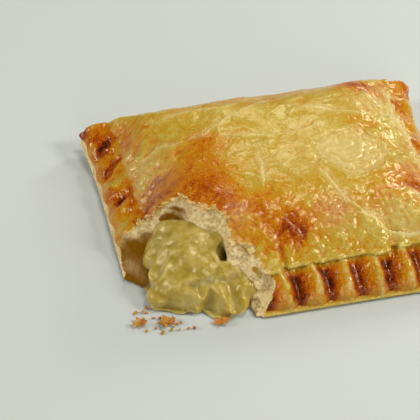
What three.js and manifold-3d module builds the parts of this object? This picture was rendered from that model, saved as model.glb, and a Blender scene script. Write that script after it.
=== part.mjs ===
// A baked cheese and onion slice: a puff pastry parcel, folded along its back and crimped on its other
// three sides, with the front left corner torn off so that the soft filling spills a little way out.
// Millimetres, +Z up. The origin is under the middle of the parcel, X runs along its long side, and the
// front is at -Y.
import * as THREE from "three";
import { mergeVertices } from "three/addons/utils/BufferGeometryUtils.js";
import Module from "manifold-3d";

// Driving sizes of the parcel.
const LENGTH = 147;
const WIDTH = 118;
const CROWN = 31.5;
const SIDE_PINCH = 3.5;
const FRONT_PINCH = 1.5;
const EAR_LIFT = 4;
const EAR_REACH = 24;

// The fluted crimp that seals the front, left and right sides.
const CRIMP_WIDTH = 12.5;
const FRONT_PITCH = 12.3;
const FRONT_PHASE = 0.1;
const SIDE_PITCH = 12.9;
const SIDE_PHASE = 5.6;
const FLUTE_SKEW = 0.19;
const CRIMP_EDGE = 4.2;
const CRIMP_TOP = 14;
const FLUTE_DEPTH = 3.3;

// The puffed lid, whose outer leaves end in a ragged lip above the crimp.
const LIP_STEP = 2.2;
const LIP_WANDER = 1.3;
const LIP_WAVE = 0.55;
const LIP_HALF = 0.6;
const LID_RUN = 38;
const LID_CURVE = 2.3;
const FOLD_EDGE = 3.5;
const FOLD_RUN = 46;

// Thickness of the crust round the filling.
const LID_THICKNESS = 7.5;
const FLOOR_THICKNESS = 3.6;
const FOOT_INSET = 6;
const FOOT_RISE = 0.9;
const CAVITY_INSET = 14;
const CAVITY_SHOULDER = 9;
const GAP = 0.35;

// Columns of vertices along each side, and how much an inner ring rounds off its corners.
const COLUMNS_X = 58;
const COLUMNS_Y = 46;
const ROUNDING_RUN = 42;
const MOST_ROUND = 0.9;

// Broad swells and hollows of the lid: middle, radius and height.
const SWELLS = [
  { x: 2, y: -14, radius: 24, height: 1.6 },
  { x: 48, y: 32, radius: 14, height: 2.4 },
  { x: 36, y: 2, radius: 15, height: -1.8 },
  { x: -36, y: 26, radius: 15, height: -1.6 },
  { x: -14, y: 34, radius: 16, height: 1.2 },
];

// Places where the top leaf has split on the lid, each as the points of its run.
const SPLIT_WIDTH = 2.4;
const SPLIT_DEPTH = 1.7;
const SPLITS = [
  [[10, -14], [16, -23], [21, -30], [27, -34], [31, -40], [44, -44]],
  [[60, 46], [58, 36], [60, 26], [59, 14], [55, 4]],
  [[-60, 30], [-48, 34], [-36, 33], [-24, 42], [-8, 46]],
];

// The tear crosses the corner. ALONG runs with it, and OUT points from the parcel to the lost corner.
// Each pair is a place along the tear and how far out the crust still reaches there.
const TEAR_TOP = [
  [-60, 52], [-47.7, 47], [-41, 40], [-29, 36.8], [-25, 34.9], [-14, 41.3], [-8.3, 42.6], [-3, 40.6],
  [5.5, 46.8], [10, 43.4], [16, 46.9], [28, 55.3], [40, 60],
];
const TEAR_BASE = [
  [-60, 64], [-34, 68], [-25, 66.4], [-16.8, 71.8], [-9, 70], [-2.8, 65], [5.7, 62.2], [20.5, 55.9],
  [28, 58], [40, 62],
];
const TEAR_STEP = 2.2;
const TEAR_PROFILE = [[0, 0], [0.16, 0.16], [0.28, 0.29], [0.7, 0.34], [0.8, 1]];
const LEAF_BOUNDS = [-0.6, 0.1, 0.215, 0.34, 0.54, 0.75, 1.6];
const LEAF_CRAG = 1.9;
const LEAF_MARGIN = 0.04;
const STEP_SLANT = 0.012;
const FACE_SLOPE = 3;

// The filling: a soft mound that slumps out of the tear, with lumps of potato and onion.
const SPILL_EDGE = [
  [-24, 58], [-16, 72.5], [-9, 72.8], [-2, 69.7], [2, 66], [8, 66.9], [13.6, 65.2], [17, 60], [23, 57.7],
];
const MOUND_TOP = 21;
const MOUND_START = 26;
const MOUND_LEFT = -18.5;
const MOUND_RIGHT = 24;
const MOUND_COLUMNS = 22;
const MOUND_ROWS = 16;
const MOUND_LIFT = 0.5;
const LUMP_COUNT = 15;
const LUMP_SIZE = [2.6, 4.6];
const LUMP_SEED = 11;
const ROOF_SLACK = 1.2;
const MOUND_OVERLAP = 14;

const HALF_LENGTH = LENGTH / 2;
const HALF_WIDTH = WIDTH / 2;
const DIAGONAL = Math.SQRT1_2;

const mix = (a, b, t) => a + (b - a) * t;
const clamp01 = (t) => Math.min(1, Math.max(0, t));

function smoothstep(low, high, value) {
  const t = clamp01((value - low) / (high - low));
  return t * t * (3 - 2 * t);
}

function softMin(a, b, blend) {
  const t = clamp01(0.5 + (b - a) / (2 * blend));
  return mix(b, a, t) - blend * t * (1 - t);
}

// Repeatable random numbers from 0 to 1.
function seededRandom(seed) {
  let state = seed;
  return () => {
    state = (state * 16807) % 2147483647;
    return state / 2147483647;
  };
}

// A slow irregular wave from about -1 to 1.
function wander(t) {
  return 0.5 * Math.sin(0.19 * t + 0.7) + 0.3 * Math.sin(0.47 * t + 2.1) + 0.2 * Math.sin(1.13 * t + 4);
}

// A line through [place, value] pairs.
function along(pairs, place) {
  for (let i = 1; i < pairs.length; i++) {
    const [from, low] = pairs[i - 1];
    const [to, high] = pairs[i];
    if (place <= to || i === pairs.length - 1) return mix(low, high, clamp01((place - from) / (to - from)));
  }
  return pairs[0][1];
}

// The plan: sides that the filling's puff pulls in between pointed corners.
const halfLengthAt = (y) => HALF_LENGTH - SIDE_PINCH * (1 - clamp01(Math.abs(y) / HALF_WIDTH) ** 4);
const halfWidthAt = (x) => HALF_WIDTH - FRONT_PINCH * (1 - clamp01(Math.abs(x) / HALF_LENGTH) ** 4);

// How far a point lies inside the crimped sides, and inside the folded back.
function insideCrimp(x, y) {
  return Math.max(0, softMin(halfLengthAt(y) - Math.abs(x), halfWidthAt(x) + y, 6));
}

function insideFold(x, y) {
  return Math.max(0, halfWidthAt(x) - y);
}

// The corners curl up off the tray.
function earLift(x, y) {
  const fromCorner = Math.hypot(HALF_LENGTH - Math.abs(x), HALF_WIDTH - Math.abs(y));
  return EAR_LIFT * (1 - smoothstep(0, EAR_REACH, fromCorner)) * (y > 0 ? 1 : 0.5);
}

// The crimp's flutes, across whichever side is near: narrow crests, each with a valley close behind it.
function flute(x, y) {
  const nearSide = halfLengthAt(y) - Math.abs(x) < halfWidthAt(x) + y;
  const turn = nearSide ? (y + SIDE_PHASE) / SIDE_PITCH : (x + FRONT_PHASE) / FRONT_PITCH;
  const wave = 0.5 + 0.5 * Math.cos(2 * Math.PI * (turn + FLUTE_SKEW * Math.sin(Math.PI * turn) ** 2));
  return FLUTE_DEPTH * (wave ** 1.3 - 0.5);
}

function lipAt(x, y) {
  return CRIMP_WIDTH + LIP_WANDER * wander(LIP_WAVE * (x - y));
}

function topHeight(x, y) {
  const inside = insideCrimp(x, y);
  const lip = lipAt(x, y);
  const crimpPart = clamp01(inside / lip);
  const crimp = mix(CRIMP_EDGE, CRIMP_TOP, crimpPart ** 0.85);
  const fluted = flute(x, y) * Math.sin(Math.PI * mix(0.12, 0.9, crimpPart));
  const lid = LIP_STEP + (CROWN - CRIMP_TOP - LIP_STEP) * (1 - (1 - clamp01((inside - lip) / LID_RUN)) ** LID_CURVE);
  const crimped = crimp + (inside > lip ? lid : fluted);
  const foldPart = clamp01(insideFold(x, y) / FOLD_RUN);
  const folded = FOLD_EDGE + (CROWN - FOLD_EDGE) * (1 - (1 - foldPart) ** 3) ** 0.48;
  const swell = SWELLS.reduce(
    (sum, s) => sum + s.height * Math.exp(-(((x - s.x) ** 2 + (y - s.y) ** 2) / s.radius ** 2)),
    0,
  );
  return softMin(crimped, folded, 2.5) + 0.6 + earLift(x, y) + swell * smoothstep(0, 20, inside);
}

// A ring of points at one inset from the plan's outline, counted from the front left corner.
function ringAt(inset, columnsX, columnsY) {
  const round = Math.min(MOST_ROUND, Math.max(0, inset) / ROUNDING_RUN);
  const halfX = HALF_LENGTH - inset;
  const halfY = HALF_WIDTH - inset;
  const corner = (x, y) => [
    x * Math.sqrt(1 - (round * (y / halfY) ** 2) / 2),
    y * Math.sqrt(1 - (round * (x / halfX) ** 2) / 2),
  ];
  const points = [];
  const onSide = (count, place) => {
    for (let i = 0; i < count; i++) points.push(corner(...place((2 * i) / count - 1)));
  };
  onSide(columnsX, (t) => [t * halfX, -(halfWidthAt(t * halfX) - inset)]);
  onSide(columnsY, (t) => [halfLengthAt(t * halfY) - inset, t * halfY]);
  onSide(columnsX, (t) => [-t * halfX, halfWidthAt(t * halfX) - inset]);
  onSide(columnsY, (t) => [-(halfLengthAt(t * halfY) - inset), -t * halfY]);
  return points;
}

// A closed solid from rings of points, each as long as the last or half as long, between two end points.
function ringSolid(firstPoint, rings, lastPoint) {
  const vertices = [firstPoint, ...rings.flat(), lastPoint];
  const triangles = [];
  const starts = [];
  rings.reduce((start, ring) => (starts.push(start), start + ring.length), 1);
  const at = (k, i) => starts[k] + (i % rings[k].length);
  rings[0].forEach((_, i) => triangles.push([0, at(0, i + 1), at(0, i)]));
  for (let k = 1; k < rings.length; k++) {
    const lower = rings[k - 1].length;
    const upper = rings[k].length;
    for (let i = 0; i < Math.min(lower, upper); i++) {
      if (lower === upper) {
        triangles.push([at(k - 1, i), at(k - 1, i + 1), at(k, i)]);
        triangles.push([at(k - 1, i + 1), at(k, i + 1), at(k, i)]);
      } else if (lower > upper) {
        triangles.push([at(k - 1, 2 * i), at(k - 1, 2 * i + 1), at(k, i)]);
        triangles.push([at(k - 1, 2 * i + 1), at(k, i + 1), at(k, i)]);
        triangles.push([at(k - 1, 2 * i + 1), at(k - 1, 2 * i + 2), at(k, i + 1)]);
      } else {
        triangles.push([at(k - 1, i), at(k, 2 * i + 1), at(k, 2 * i)]);
        triangles.push([at(k - 1, i), at(k - 1, i + 1), at(k, 2 * i + 1)]);
        triangles.push([at(k - 1, i + 1), at(k, 2 * i + 2), at(k, 2 * i + 1)]);
      }
    }
  }
  const last = rings.length - 1;
  rings[last].forEach((_, i) => triangles.push([at(last, i), at(last, i + 1), vertices.length - 1]));
  return solidFrom(vertices, triangles);
}

// A closed solid between two grids of points of one size, grid[row][column], with back on the far side.
function slabSolid(front, back) {
  const rows = front.length;
  const columns = front[0].length;
  const vertices = [...front.flat(), ...back.flat()];
  const offset = rows * columns;
  const triangles = [];
  const quad = (a, b, c, d) => triangles.push([a, b, c], [a, c, d]);
  for (let r = 0; r < rows - 1; r++) {
    for (let c = 0; c < columns - 1; c++) {
      const i = r * columns + c;
      quad(i, i + 1, i + columns + 1, i + columns);
      quad(offset + i, offset + i + columns, offset + i + columns + 1, offset + i + 1);
    }
  }
  for (let c = 0; c < columns - 1; c++) {
    const top = (rows - 1) * columns + c;
    quad(c + 1, c, offset + c, offset + c + 1);
    quad(top, top + 1, offset + top + 1, offset + top);
  }
  for (let r = 0; r < rows - 1; r++) {
    const left = r * columns;
    const right = left + columns - 1;
    quad(left, left + columns, offset + left + columns, offset + left);
    quad(right + columns, right, offset + right, offset + right + columns);
  }
  return solidFrom(vertices, triangles);
}

const wasm = await Module();
wasm.setup();

function solidFrom(vertices, triangles) {
  const made = new wasm.Manifold(
    new wasm.Mesh({
      numProp: 3,
      vertProperties: new Float32Array(vertices.flat()),
      triVerts: new Uint32Array(triangles.flat()),
    }),
  );
  if (made.volume() > 0) return made;
  return solidFrom(
    vertices,
    triangles.map(([a, b, c]) => [a, c, b]),
  );
}

function solidOf(geometry) {
  geometry.deleteAttribute("normal");
  geometry.deleteAttribute("uv");
  const merged = mergeVertices(geometry, 1e-3);
  return new wasm.Manifold(
    new wasm.Mesh({
      numProp: 3,
      vertProperties: merged.attributes.position.array,
      triVerts: new Uint32Array(merged.index.array),
    }),
  );
}

function largestOf(solid) {
  return solid.decompose().reduce((best, piece) => (piece.volume() > best.volume() ? piece : best));
}

function geometryOf(solid) {
  const { numProp, numVert, vertProperties, triVerts } = solid.getMesh();
  const positions = new Float32Array(numVert * 3);
  for (let i = 0; i < numVert; i++) positions.set(vertProperties.subarray(i * numProp, i * numProp + 3), i * 3);
  return new THREE.BufferGeometry()
    .setAttribute("position", new THREE.BufferAttribute(positions, 3))
    .setIndex(new THREE.BufferAttribute(new Uint32Array(triVerts), 1));
}

// The whole parcel before it was torn.
function parcelSolid() {
  const ring = (inset, height, share) =>
    ringAt(inset, COLUMNS_X / share, COLUMNS_Y / share).map(([x, y]) => [x, y, height(x, y)]);
  const footHeight = (x, y) => FOOT_RISE + 0.8 * earLift(x, y);
  const crimpInsets = [0, 0.22, 0.48, 0.74].map((share) => share * CRIMP_WIDTH);
  const lidInsets = [3.4, 8.5, 14.5, 21, 29, 38].map((past) => CRIMP_WIDTH + past);
  const outer = ringAt(0.79 * CRIMP_WIDTH, COLUMNS_X, COLUMNS_Y);
  const inner = ringAt(1.23 * CRIMP_WIDTH, COLUMNS_X, COLUMNS_Y);
  const lipRing = (past) =>
    outer.map(([x, y], i) => {
      const at = (t) => [mix(x, inner[i][0], t), mix(y, inner[i][1], t)];
      const beyond = (t) => insideCrimp(...at(t)) - lipAt(...at(t)) - past;
      let [low, high] = [0.02 + 0.1 * (past > 0), 0.88 + 0.1 * (past > 0)];
      if (beyond(low) > 0) high = low;
      while (high - low > 0.01) {
        const middle = (low + high) / 2;
        if (beyond(middle) > 0) high = middle;
        else low = middle;
      }
      return [...at(low), topHeight(...at(low))];
    });
  return ringSolid(
    [0, 0, 0],
    [
      ring(FOOT_INSET, () => 0, 2),
      ring(0, footHeight, 1),
      ...crimpInsets.map((inset) => ring(inset, topHeight, 1)),
      lipRing(-LIP_HALF),
      lipRing(LIP_HALF),
      ...lidInsets.map((inset) => ring(inset, topHeight, 2)),
    ],
    [0, 0, topHeight(0, 0)],
  );
}

// The space inside the crust, drawn in by shrink on every face.
function cavitySolid(shrink, roofSlack) {
  const floor = FLOOR_THICKNESS + shrink;
  const insets = [0, 2.5, 6, 11, 18, 28];
  const share = 2;
  const roof = (past) => (x, y) => {
    const open = Math.sqrt(clamp01((past + 0.8) / CAVITY_SHOULDER));
    const high = topHeight(x, y) - LID_THICKNESS - shrink - roofSlack;
    return mix(floor + 0.8, Math.max(floor + 1, high), open);
  };
  const ring = (past, height) =>
    ringAt(CAVITY_INSET + shrink + past, COLUMNS_X / share, COLUMNS_Y / share).map(([x, y]) => [
      x,
      y,
      height(x, y),
    ]);
  return ringSolid(
    [0, 0, floor],
    [ring(2, () => floor), ...insets.map((past) => ring(past, roof(past)))],
    [0, 0, roof(CAVITY_SHOULDER)(0, 0)],
  );
}

// From a place along the tear, and a distance out from it, to the plan and back.
const planOf = (place, out) => [DIAGONAL * (place - out), DIAGONAL * (-place - out)];

// How far out one leaf of the crust still reaches at a place along the tear. Each leaf broke on its
// own line, so that the torn face is stepped.
function leafReach(place, leaf) {
  const depth = leaf === 0 ? 0 : (LEAF_BOUNDS[leaf] + Math.min(1, LEAF_BOUNDS[leaf + 1])) / 2;
  const line = mix(along(TEAR_TOP, place), along(TEAR_BASE, place), along(TEAR_PROFILE, depth));
  return line + LEAF_CRAG * wander(0.9 * place + 17 * leaf);
}

// All that lies beyond the torn face, from rows of one depth each: 0 is the lid and 1 the base.
function beyondRows(rows) {
  const first = TEAR_TOP[0][0];
  const last = TEAR_TOP[TEAR_TOP.length - 1][0];
  const count = Math.round((last - first) / TEAR_STEP);
  const face = rows.map(({ depth, leaves, past }) =>
    Array.from({ length: count + 1 }, (_, i) => {
      const place = mix(first, last, i / count);
      const reach = Math.max(...leaves.map((leaf) => leafReach(place, leaf)));
      const [x, y] = planOf(place, past + reach + FACE_SLOPE * (depth - 0.7));
      return [x, y, topHeight(x, y) * (1 - depth)];
    }),
  );
  const far = face.map((row) => row.map(([x, y, z]) => [x - LENGTH, y - LENGTH, z]));
  return slabSolid(face, far);
}

function tornAway() {
  return beyondRows(
    LEAF_BOUNDS.slice(1).flatMap((lower, leaf) => [
      { depth: LEAF_BOUNDS[leaf] + (leaf ? STEP_SLANT : 0), leaves: [leaf], past: 0 },
      { depth: lower - STEP_SLANT, leaves: [leaf], past: 0 },
    ]),
  );
}

// The same, set off outwards from the torn face, and from the top and underside of each leaf.
function clearOfTear(past) {
  return beyondRows([
    { depth: LEAF_BOUNDS[0], leaves: [0], past },
    ...LEAF_BOUNDS.slice(1, -1).flatMap((bound, leaf) => [
      { depth: bound - LEAF_MARGIN - STEP_SLANT, leaves: [leaf], past },
      { depth: bound - LEAF_MARGIN, leaves: [leaf, leaf + 1], past },
      { depth: bound + LEAF_MARGIN, leaves: [leaf, leaf + 1], past },
      { depth: bound + LEAF_MARGIN + STEP_SLANT, leaves: [leaf + 1], past },
    ]),
    { depth: LEAF_BOUNDS[LEAF_BOUNDS.length - 1], leaves: [LEAF_BOUNDS.length - 2], past },
  ]);
}

// A groove with sloping sides along one split in the top leaf.
function splitGroove(points) {
  const run = new THREE.CatmullRomCurve3(points.map(([x, y]) => new THREE.Vector3(x, y, 0)));
  const steps = Math.round(run.getLength() / 3);
  const sides = [-1, 0, 1].map((side) =>
    Array.from({ length: steps + 1 }, (_, i) => {
      const centre = run.getPoint(i / steps);
      const tangent = run.getTangent(i / steps);
      const width = (side * SPLIT_WIDTH * Math.sin((Math.PI * (i + 0.6)) / (steps + 1.2))) / 2;
      const x = centre.x - tangent.y * width;
      const y = centre.y + tangent.x * width;
      return [x, y, topHeight(x, y) + (side ? 0.5 : -SPLIT_DEPTH)];
    }),
  );
  const lid = sides.map((row) => row.map(([x, y], i) => [x, y, sides[1][i][2] + SPLIT_DEPTH + 4]));
  return slabSolid(sides, lid);
}

// The soft mound at the tear: it starts under the lid and slumps down to its edge on the tray.
function moundSolid() {
  const height = (place, out) => {
    const edge = along(SPILL_EDGE, place);
    const run = clamp01((out - MOUND_START) / (edge - MOUND_START));
    const slump = Math.sqrt(Math.max(0, 1 - run ** 2.4));
    const left = Math.sqrt(smoothstep(MOUND_LEFT - 2, MOUND_LEFT + 6, place));
    const right = smoothstep(MOUND_RIGHT + 2, MOUND_RIGHT - 5, place);
    const knobbly = 1.3 * wander(3.1 * place) * wander(2.7 * out + 9) + 0.8 * wander(1.9 * (out - place));
    return MOUND_LIFT + 0.4 + (MOUND_TOP + knobbly) * slump * left * right;
  };
  const rows = Array.from({ length: MOUND_ROWS + 1 }, (_, r) =>
    Array.from({ length: MOUND_COLUMNS + 1 }, (_, c) => {
      const place = mix(MOUND_LEFT - 2, MOUND_RIGHT + 2, c / MOUND_COLUMNS);
      const out = mix(MOUND_START, along(SPILL_EDGE, place), r / MOUND_ROWS);
      const [x, y] = planOf(place, out);
      return [x, y, height(place, out)];
    }),
  );
  const under = rows.map((row) => row.map(([x, y]) => [x, y, MOUND_LIFT]));
  return slabSolid(rows, under);
}

// Lumps that stand out of the mound.
function lumpSolids() {
  const random = seededRandom(LUMP_SEED);
  return Array.from({ length: LUMP_COUNT }, () => {
    const place = mix(MOUND_LEFT + 4, MOUND_RIGHT - 5, random());
    const down = mix(0.35, 0.93, random());
    const out = mix(MOUND_START, along(SPILL_EDGE, place), down);
    const [x, y] = planOf(place, out);
    const radius = mix(...LUMP_SIZE, random());
    const z = Math.max(radius * 0.6, MOUND_TOP * Math.sqrt(1 - down ** 2.4) - radius * 0.35);
    const lump = new THREE.SphereGeometry(radius, 9, 6);
    lump.scale(mix(0.9, 1.35, random()), mix(0.8, 1.1, random()), mix(0.6, 0.85, random()));
    lump.rotateZ(Math.PI * random());
    lump.translate(x, y, z + MOUND_LIFT);
    return solidOf(lump);
  });
}

function aboveTray(solid) {
  const tray = new THREE.BoxGeometry(3 * LENGTH, 3 * LENGTH, CROWN);
  tray.translate(0, 0, MOUND_LIFT - CROWN / 2);
  return solid.subtract(solidOf(tray));
}

function pastrySolid() {
  const hollow = parcelSolid().subtract(cavitySolid(0, 0));
  const torn = hollow.subtract(tornAway());
  return largestOf(SPLITS.reduce((solid, points) => solid.subtract(splitGroove(points)), torn));
}

// The filling runs through the parcel and out at the tear. It keeps clear of the crust all round.
function fillingSolid() {
  const room = cavitySolid(4 * GAP, 0).add(clearOfTear(5 * GAP));
  const spill = lumpSolids()
    .reduce((solid, lump) => solid.add(lump), moundSolid())
    .intersect(room);
  const inside = cavitySolid(6 * GAP, ROOF_SLACK).subtract(clearOfTear(-MOUND_OVERLAP));
  return largestOf(aboveTray(inside.add(spill)));
}

function meshOf(name, solid, color, roughness) {
  const material = new THREE.MeshStandardMaterial({ color, roughness, metalness: 0 });
  const mesh = new THREE.Mesh(geometryOf(solid), material);
  mesh.name = name;
  return mesh;
}

const slice = new THREE.Group();
slice.add(meshOf("pastry", pastrySolid(), 0xc98a35, 0.45));
slice.add(meshOf("filling", fillingSolid(), 0xd9cf86, 0.35));

export default slice;
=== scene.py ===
"""A baked cheese and onion slice: a glazed puff pastry parcel, crimped on three sides and folded along
its back, with one corner torn off so that its soft filling shows. Sizes are in millimetres until a mesh
is made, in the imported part's frame: X along the parcel, the crimped front at -Y, Z up from the tray."""

import math

import bpy
import numpy as np
from mathutils import Matrix, Vector


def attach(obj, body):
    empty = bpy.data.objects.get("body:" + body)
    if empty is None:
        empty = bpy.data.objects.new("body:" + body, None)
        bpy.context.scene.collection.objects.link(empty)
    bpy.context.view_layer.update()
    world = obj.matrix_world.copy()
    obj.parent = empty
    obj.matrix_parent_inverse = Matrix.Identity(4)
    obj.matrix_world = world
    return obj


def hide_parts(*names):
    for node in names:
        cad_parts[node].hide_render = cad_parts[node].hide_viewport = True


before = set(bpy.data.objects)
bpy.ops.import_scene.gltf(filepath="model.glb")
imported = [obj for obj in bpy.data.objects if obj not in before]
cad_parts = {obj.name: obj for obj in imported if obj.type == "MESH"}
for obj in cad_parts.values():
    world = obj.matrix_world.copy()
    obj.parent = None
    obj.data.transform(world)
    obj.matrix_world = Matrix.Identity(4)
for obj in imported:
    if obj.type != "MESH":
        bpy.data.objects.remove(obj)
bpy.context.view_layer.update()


# ---------------------------------------------------------------------------- the camera
# A long lens looks down on the torn corner from the front, a little to its left. It is aimed at a point
# on the tray, because the parcel runs out of the photograph on the right.
LOOK_AT = Vector((-0.0275, 0.009, 0.0))
AZIMUTH, ELEVATION, AWAY = math.radians(-13), math.radians(42), 0.7819

camera = bpy.data.objects.new("camera", bpy.data.cameras.new("camera"))
bpy.context.collection.objects.link(camera)
camera.data.sensor_width, camera.data.lens = 36, 162.86
towards = Vector(
    (
        math.sin(AZIMUTH) * math.cos(ELEVATION),
        -math.cos(AZIMUTH) * math.cos(ELEVATION),
        math.sin(ELEVATION),
    )
)
camera.location = LOOK_AT + towards * AWAY
camera.rotation_mode = "QUATERNION"
camera.rotation_quaternion = (-towards).to_track_quat("-Z", "Y")
bpy.context.scene.camera = camera


# ---------------------------------------------------------------------------- the puff pastry crust
# Laminated dough, glazed with egg, folded over the filling along the back and pressed together on the
# other sides, where the press leaves flutes. The oven puffs the lid up. Its leaves split and scorch, and
# at the torn corner each leaf has broken on a line of its own.
LENGTH, WIDTH, CROWN = 147.0, 118.0, 31.5
CRIMP_WIDTH, CRIMP_EDGE, CRIMP_TOP = 12.5, 4.2, 14.0
FRONT_PITCH, SIDE_PITCH, FLUTE_DEPTH = 12.3, 12.9, 3.9
LIP_STEP, LIP_OVERHANG, TOP_LEAF = 2.2, 1.7, 1.15
LID_THICKNESS, FLOOR_THICKNESS, LEAF_THICKNESS = 9.3, 3.6, 1.1
FOLD_DEPTH, WALL_THICKNESS, HOLLOW_START = 9.0, 13.0, 24.0
# Pairs of a place along the tear and how far out the crust still reaches there, at its top and its base.
TEAR_TOP = [
    (-60, 54), (-43.6, 52.2), (-40.7, 50.6), (-37.1, 46.7), (-31.8, 44.3), (-29.3, 43.1), (-24.5, 37.9),
    (-20.5, 37.9), (-17.3, 39.9), (-11.3, 41), (-3.3, 39.2), (1.2, 42.3), (5.4, 45.8), (10.3, 43.3),
    (13.3, 43), (15.5, 45.8), (18.6, 45.4), (22, 41.6), (24.8, 46.5), (27, 51.3), (29.2, 55), (38, 62),
]  # fmt: skip
TEAR_BASE = [
    (-60, 66), (-40, 68), (-34, 67), (-30, 66.4), (-22.5, 65.5), (-16, 69), (-9, 69), (-2, 65), (5, 60),
    (12, 54), (16, 51.5), (18.8, 53.7), (22.3, 56.1), (25.3, 55.7), (31, 58), (40, 63),
]  # fmt: skip
# How finely the crust is drawn round the torn corner, elsewhere, and upwards, and where the fine part ends.
FINE, COARSE, RISE = 0.36, 0.48, 0.42
FINE_TO_X, FINE_TO_Y, MARGIN = -6, 2, 0.8


def smooth(low, high, value):
    t = np.clip((value - low) / (high - low), 0, 1)
    return t * t * (3 - 2 * t)


def soft_min(a, b, blend):
    t = np.clip(0.5 + (b - a) / (2 * blend), 0, 1)
    return b + (a - b) * t - blend * t * (1 - t)


def noise(x, y, z, size, seed):
    """Smooth noise from -1 to 1 whose features are about that many millimetres across."""
    c, s = math.cos(2.4 * seed), math.sin(2.4 * seed)
    turned = (c * np.asarray(x) - s * np.asarray(y), s * np.asarray(x) + c * np.asarray(y), z)
    spots = np.broadcast_arrays(*(np.asarray(v, float) / size + 211.7 for v in turned))
    cells = [np.floor(v).astype(np.int64) for v in spots]
    shares = [v - c for v, c in zip(spots, cells)]
    shares = [s * s * s * (s * (6 * s - 15) + 10) for s in shares]
    total = 0.0
    for corner in range(8):
        steps = (corner & 1, corner >> 1 & 1, corner >> 2 & 1)
        key = seed * 374761393
        weight = 1.0
        for cell, step, prime, share in zip(cells, steps, (73856093, 19349663, 83492791), shares):
            key = key ^ (cell + step) * prime
            weight = weight * (share if step else 1 - share)
        key = (key ^ key >> 13) * 1274126177 & 0x7FFFFFFF
        key = (key ^ key >> 16) * 668265263 & 0x7FFFFFFF
        total = total + weight * ((key & 0xFFFF) / 32767.5 - 1)
    return total


def layered(x, y, z, size, seed, octaves=3):
    """Noise with finer noise on it, each layer half as large and half as strong."""
    return sum(noise(x, y, z, size / 2**k, seed + k) / 2**k for k in range(octaves))


def wander(t):
    return 0.5 * np.sin(0.19 * t + 0.7) + 0.3 * np.sin(0.47 * t + 2.1) + 0.2 * np.sin(1.13 * t + 4)


def half_length(y):
    return LENGTH / 2 - 3.5 * (1 - np.clip(np.abs(y) / (WIDTH / 2), 0, 1) ** 4)


def half_width(x):
    return WIDTH / 2 - 1.5 * (1 - np.clip(np.abs(x) / (LENGTH / 2), 0, 1) ** 4)


def inside_crimp(x, y):
    return np.maximum(0, soft_min(half_length(y) - np.abs(x), half_width(x) + y, 6))


def ear_lift(x, y):
    far = np.hypot(LENGTH / 2 - np.abs(x), WIDTH / 2 - np.abs(y))
    return 4 * (1 - smooth(0, 24, far)) * np.where(y > 0, 1, 0.5)


def flute_turn(x, y):
    """How many flutes along the crimp a point lies: whole numbers are the crests, which slant to the side."""
    side = half_length(y) - np.abs(x) < half_width(x) + y
    slant = 0.15 * (half_width(x) + y - CRIMP_WIDTH)
    turn = np.where(side, (y + 5.6) / SIDE_PITCH, (x + 0.1 + slant) / FRONT_PITCH)
    return turn + 0.035 * noise(x, y, 0, 7, 3)


def flute_wave(x, y):
    """1 on a flute's narrow crest and 0 in the valley close behind it."""
    turn = flute_turn(x, y) % 1
    places = (0, 0.06, 0.13, 0.2, 0.27, 0.33, 0.4, 0.47, 0.6, 0.8, 0.92, 1)
    sharp = np.interp(turn, places, (1, 0.94, 0.78, 0.55, 0.22, 0.06, 0.0, 0.1, 0.38, 0.74, 0.94, 1))
    return sharp + (0.5 + 0.5 * np.cos(2 * np.pi * (turn - 0.02)) - sharp) * smooth(48, 58, np.abs(x))


def lip_line(x, y):
    ragged = 0.8 * noise(x, y, 0, 3.2, 21) + 0.45 * noise(x, y, 0, 1.4, 22)
    front = smooth(-30, -40, y)
    notch = 1.6 * np.exp(-(((x + 11) / 1.3) ** 2)) * smooth(-38, -43, y)
    lobe = -1.8 * np.exp(-(((x + 17) / 5) ** 4)) + notch
    flap = -1.2 * np.exp(-(((x - 27) / 5) ** 4)) + 2.0 * smooth(31, 34, x) * smooth(60, 48, x)
    return CRIMP_WIDTH + 1.3 * wander(0.55 * (x - y)) + ragged + front * (lobe + flap)


def blot(x, y, cx, cy, rx, ry, turn=0.0):
    """A soft-edged oval patch, from 1 in its middle to 0 outside, with a wandering outline."""
    x, y = x - cx + 0.2 * rx * noise(x, y, 0, 6, 101), y - cy + 0.2 * rx * noise(x, y, 0, 6, 102)
    c, s = math.cos(math.radians(turn)), math.sin(math.radians(turn))
    return np.exp(-(((c * x + s * y) / rx) ** 2) - ((-s * x + c * y) / ry) ** 2)


# Patches where the glazed skin has crumpled in small facets, which also get painted highlight glints: where and how
# large.
CRUMPLED = [
    (14, -32, 8, 6), (38, -35, 9, 6), (46, 30, 10, 8), (-24, -26, 4, 5),
    (-52, 12, 9, 14), (-62, 30, 7, 24), (60, 20, 6, 30),
]  # fmt: skip
# The lid's broad swells and dips: where, how wide and how high.
SWELLS = [(2, -14, 24, 1.6), (48, 32, 14, 2.4), (36, 2, 15, -1.8), (-36, 26, 15, -1.6), (-14, 34, 16, 1.2)]


def whorls_at(x, y):
    """How far out in the dull patch a point lies, 1 on its edge, and how near it is to a whorl's crest."""
    swirl = np.hypot((x - 27) / 17, (y + 2) / 14) + 0.28 * layered(x, y, 0, 9, 61)
    return swirl, np.abs(np.sin(9 * swirl + 3.5 * noise(x, y, 0, 6, 63) + 1.5 * noise(x, y, 0, 2.5, 64)))


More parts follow.
